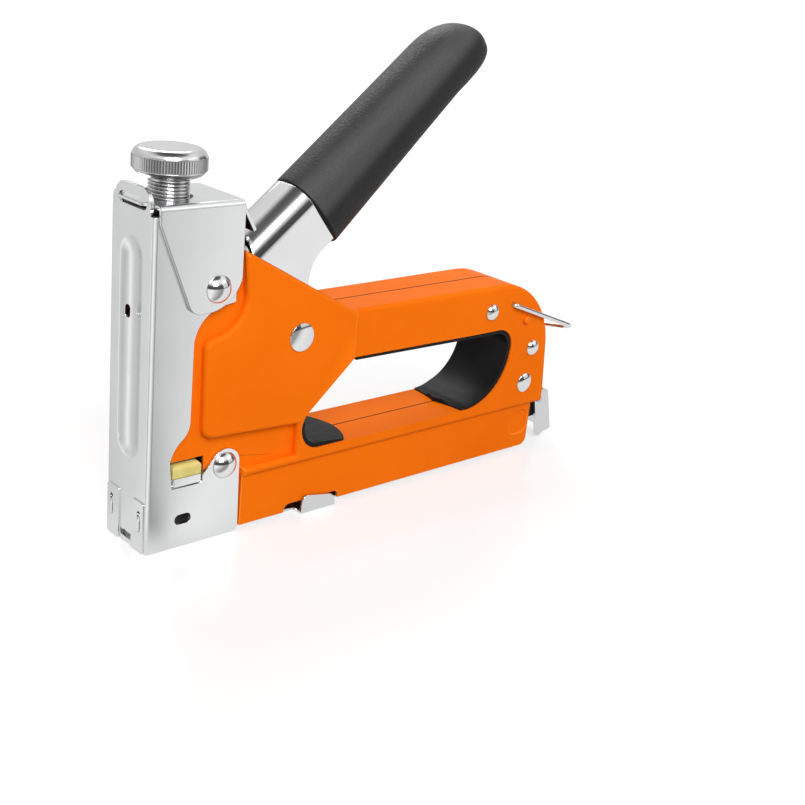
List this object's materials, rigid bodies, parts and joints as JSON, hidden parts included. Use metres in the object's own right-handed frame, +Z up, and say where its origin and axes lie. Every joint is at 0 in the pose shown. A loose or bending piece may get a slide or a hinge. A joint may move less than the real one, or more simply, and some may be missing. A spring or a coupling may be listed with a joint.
{
  "type": "hand tacker",
  "caption": "Hand tacker with a squeeze lever above a finger loop, a knurled tension knob, a flat folded nose and a slide-out magazine.",
  "frame": {"origin": "middle of the nose's front sheet, on the foot that is pressed on the work", "axes": "+X along the magazine from the nose to the rear, +Y to the user's right, +Z up along the hammer's travel"},
  "size_m": [0.1817, 0.0296, 0.1501],
  "materials": {
    "orange_paint": "semi-gloss",
    "satin_chrome": "satin",
    "bright_chrome": "mirror",
    "satin_metal": "satin",
    "plain_steel": "ground",
    "spring_steel": "oiled",
    "black_rubber": "matte grained",
    "black_plastic": "soft sheen",
    "yellow_bumper": "matte"
  },
  "bodies": {
    "frame": {"left_shell": "orange_paint", "right_shell": "orange_paint", "nose_plate": "satin_chrome", "top_cover": "satin_chrome", "guide_block": "satin_chrome", "bumper": "yellow_bumper", "finger_guard": "black_plastic", "threaded_bush": "plain_steel", "staple_channel": "plain_steel", "lever_pivot": "bright_chrome", "cover_rivets": "bright_chrome", "nose_rivet": "bright_chrome", "rear_rivets": "bright_chrome", "tail_rivet": "bright_chrome"},
    "lever": {"lever": "bright_chrome", "lift_arm": "plain_steel", "arm_pin": "plain_steel", "pivot_spacers": "plain_steel", "grip": "black_rubber"},
    "hammer": {"hammer": "plain_steel", "driver_blade": "plain_steel"},
    "seat": {"spring_seat": "plain_steel", "main_spring": "spring_steel"},
    "screw": {"power_screw": "satin_metal", "knob": "satin_metal"},
    "bail": {"bail": "bright_chrome"},
    "rail": {"magazine_rail": "satin_chrome", "pusher_rod": "plain_steel", "rail_end": "black_plastic", "latch_pin": "plain_steel", "pusher_spring": "spring_steel", "latch_spring": "spring_steel"},
    "pusher": {"pusher": "plain_steel"},
    "latch": {"latch": "satin_chrome"}
  },
  "joints": [
    {"name": "lever_swing", "type": "hinge", "parent": "frame", "child": "lever", "pos_m": [0.0514, 0, 0.0597], "axis": [0, 1, 0], "range_deg": [0, 38], "stiffness_Nm_per_rad": 1.5, "springref_deg": -17.19},
    {"name": "hammer_lift", "type": "slide", "parent": "frame", "child": "hammer", "axis": [0, 0, 1], "range_m": [0, 0.0196], "deforming": ["main_spring"]},
    {"name": "seat_slide", "type": "slide", "parent": "frame", "child": "seat", "axis": [0, 0, -1], "range_m": [0, 0.002], "deforming": ["main_spring"]},
    {"name": "screw_turn", "type": "hinge", "parent": "seat", "child": "screw", "pos_m": [0.0112, 0, 0.1], "axis": [0, 0, -1], "range_deg": [0, 721]},
    {"name": "bail_swing", "type": "hinge", "parent": "frame", "child": "bail", "pos_m": [0.145, 0, 0.0577], "axis": [0, -1, 0], "range_deg": [0, 70]},
    {"name": "magazine_slide", "type": "slide", "parent": "frame", "child": "rail", "axis": [1, 0, 0], "range_m": [0, 0.09]},
    {"name": "pusher_slide", "type": "slide", "parent": "rail", "child": "pusher", "axis": [1, 0, 0], "range_m": [0, 0.08], "stiffness_N_per_m": 40, "springref_m": -0.05, "deforming": ["pusher_spring"]},
    {"name": "latch_press", "type": "hinge", "parent": "rail", "child": "latch", "pos_m": [0.1716, 0, 0.0162], "axis": [0, 1, 0], "range_deg": [0, 8], "stiffness_Nm_per_rad": 0.05, "springref_deg": -11.46, "deforming": ["latch_spring"]}
  ],
  "couplings": [
    {"joint": "hammer_lift", "follows": "lever_swing", "m_per_rad": 0.029453},
    {"joint": "screw_turn", "follows": "seat_slide", "rad_per_m": 6283.2}
  ]
}
